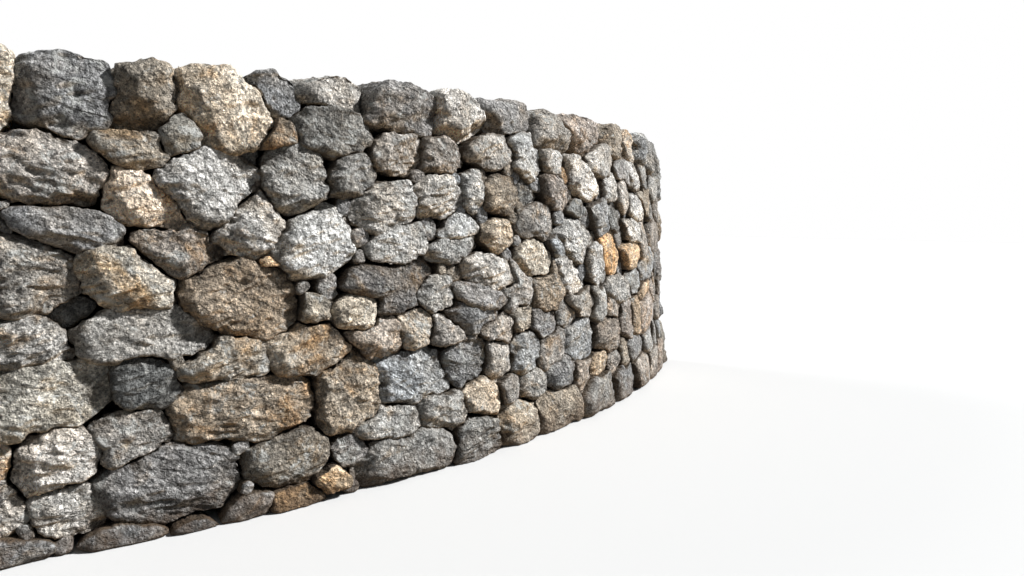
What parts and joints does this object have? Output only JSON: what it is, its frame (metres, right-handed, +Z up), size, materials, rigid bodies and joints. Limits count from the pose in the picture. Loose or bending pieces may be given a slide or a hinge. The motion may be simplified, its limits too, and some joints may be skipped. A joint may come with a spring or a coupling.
{
  "type": "dry stone wall",
  "caption": "Curved free-standing dry stone wall of rounded granite fieldstones, with two leaning faces, a packed core, wider base stones, large cap stones and quoined ends.",
  "frame": {"origin": "on the ground, at the middle of the wall's outer box", "axes": "+X along the wall's chord, from its left end to its right end as seen from the convex face; -Y out through the middle of the convex face; +Z up"},
  "size_m": [5.5086, 1.3388, 1.64],
  "materials": {
    "face_granite": "rough weathered fieldstone",
    "base_granite": "rough weathered fieldstone",
    "cap_granite": "rough weathered fieldstone",
    "quoin_granite": "rough weathered fieldstone",
    "rubble_core": "packed stone rubble"
  },
  "bodies": {
    "root": {"base_stones_1": "base_granite", "front_face_1": "face_granite", "back_face_1": "face_granite", "hearting_1": "rubble_core", "cap_stones_1": "cap_granite", "base_stones_2": "base_granite", "front_face_2": "face_granite", "back_face_2": "face_granite", "hearting_2": "rubble_core", "cap_stones_2": "cap_granite", "base_stones_3": "base_granite", "front_face_3": "face_granite", "back_face_3": "face_granite", "hearting_3": "rubble_core", "cap_stones_3": "cap_granite", "base_stones_4": "base_granite", "front_face_4": "face_granite", "back_face_4": "face_granite", "hearting_4": "rubble_core", "cap_stones_4": "cap_granite", "base_stones_5": "base_granite", "front_face_5": "face_granite", "back_face_5": "face_granite", "hearting_5": "rubble_core", "cap_stones_5": "cap_granite", "base_stones_6": "base_granite", "front_face_6": "face_granite", "back_face_6": "face_granite", "hearting_6": "rubble_core", "cap_stones_6": "cap_granite", "left_quoin_1": "quoin_granite", "left_quoin_2": "quoin_granite", "left_quoin_3": "quoin_granite", "left_quoin_4": "quoin_granite", "left_quoin_5": "quoin_granite", "right_quoin_1": "quoin_granite", "right_quoin_2": "quoin_granite", "right_quoin_3": "quoin_granite", "right_quoin_4": "quoin_granite", "right_quoin_5": "quoin_granite"}
  },
  "joints": []
}
